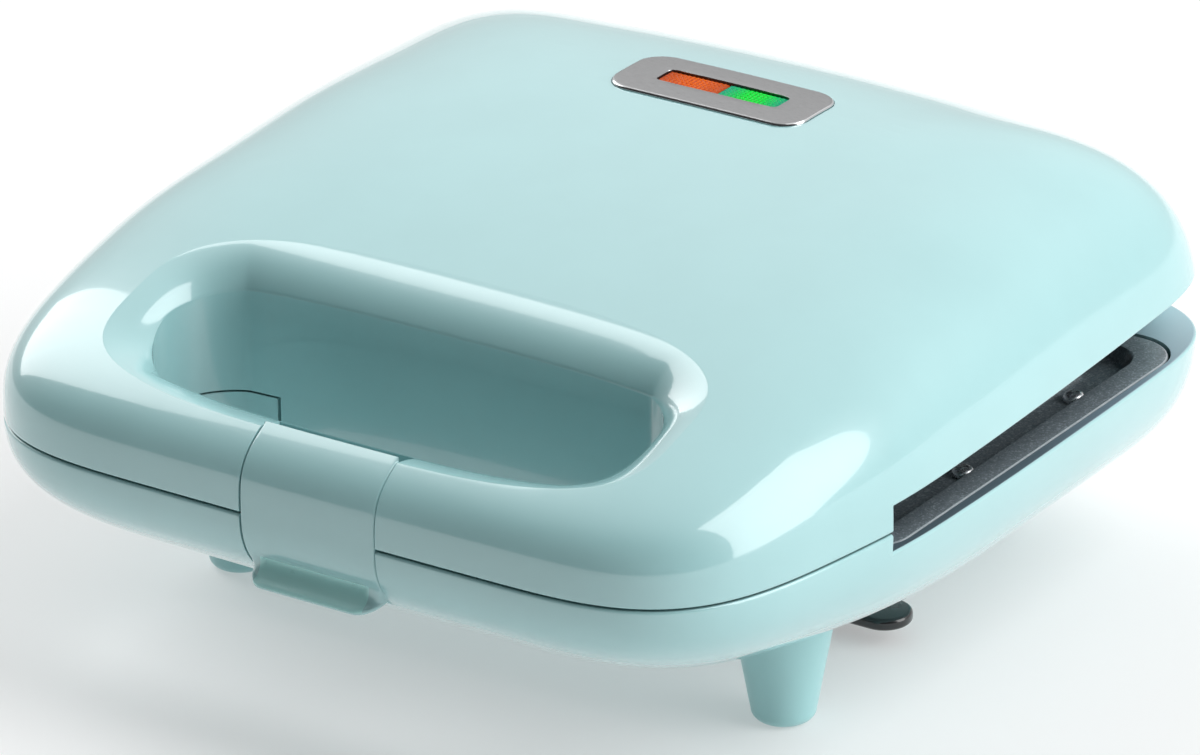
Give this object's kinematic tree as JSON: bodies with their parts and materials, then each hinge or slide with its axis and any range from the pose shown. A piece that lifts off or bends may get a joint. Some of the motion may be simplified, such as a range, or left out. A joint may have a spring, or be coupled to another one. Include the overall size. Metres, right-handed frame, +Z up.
{
  "type": "contact grill",
  "caption": "Countertop contact grill with a domed hinged lid, a front carrying handle, a latch over the handle bar, ribbed plates and short feet.",
  "frame": {"origin": "middle of the bounding box, on the table surface under the feet, with the lid closed and latched", "axes": "+X to the right seen from the front, +Y to the back where the hinge is, +Z up"},
  "size_m": [0.2234, 0.2326, 0.1055],
  "materials": {
    "mint_gloss": "high gloss moulded plastic, pale mint",
    "mint_satin": "satin moulded plastic, pale mint",
    "coated_aluminium": "dark speckled non-stick coating on a cast plate",
    "plated_steel": "zinc-plated steel",
    "satin_steel": "brushed, polished edge",
    "sheet_aluminium": "bright pressed sheet",
    "black_gloss": "glossy black plastic",
    "heater_sheath": "oxidised steel tube",
    "ceramic": "unglazed ceramic",
    "amber_lens": "ribbed translucent lens",
    "green_lens": "ribbed translucent lens",
    "lamp_glass": "clear lamp envelope",
    "brass": "plain"
  },
  "bodies": {
    "base": {"base_shell": "mint_gloss", "lower_cooking_plate": "coated_aluminium", "lower_plate_screw_left_front": "plated_steel", "lower_plate_screw_left_rear": "plated_steel", "lower_plate_screw_right_front": "plated_steel", "lower_plate_screw_right_rear": "plated_steel", "lower_heating_element": "heater_sheath", "lower_heat_reflector": "sheet_aluminium", "terminal_block": "ceramic", "foot_front_left": "mint_satin", "foot_front_right": "mint_satin", "foot_rear_left": "mint_satin", "foot_rear_right": "mint_satin", "foot_screw_front_left": "plated_steel", "foot_screw_front_right": "plated_steel", "foot_screw_rear_left": "plated_steel", "foot_screw_rear_right": "plated_steel", "cord_cleat_left": "black_gloss", "cord_cleat_right": "black_gloss", "cord_gland": "black_gloss", "hinge_pin_left": "plated_steel", "hinge_pin_right": "plated_steel"},
    "lid": {"lid_shell": "mint_gloss", "upper_cooking_plate": "coated_aluminium", "upper_plate_screw_left_front": "plated_steel", "upper_plate_screw_left_rear": "plated_steel", "upper_plate_screw_right_front": "plated_steel", "upper_plate_screw_right_rear": "plated_steel", "upper_heating_element": "heater_sheath", "upper_heat_reflector": "sheet_aluminium", "indicator_plate": "satin_steel", "power_lens": "amber_lens", "ready_lens": "green_lens", "lamp_holder": "ceramic", "power_lamp": "lamp_glass", "ready_lamp": "lamp_glass", "thermostat": "black_gloss", "thermal_fuse": "brass", "latch_pin": "plated_steel"},
    "latch": {"latch": "mint_gloss"}
  },
  "joints": [
    {"name": "lid_hinge", "type": "hinge", "parent": "base", "child": "lid", "pos_m": [0, 0.1095, 0.062], "axis": [-1, 0, 0], "range_deg": [0, 100]},
    {"name": "latch_pivot", "type": "hinge", "parent": "lid", "child": "latch", "pos_m": [0, -0.1074, 0.0694], "axis": [-1, 0, 0], "range_deg": [0, 60]}
  ]
}
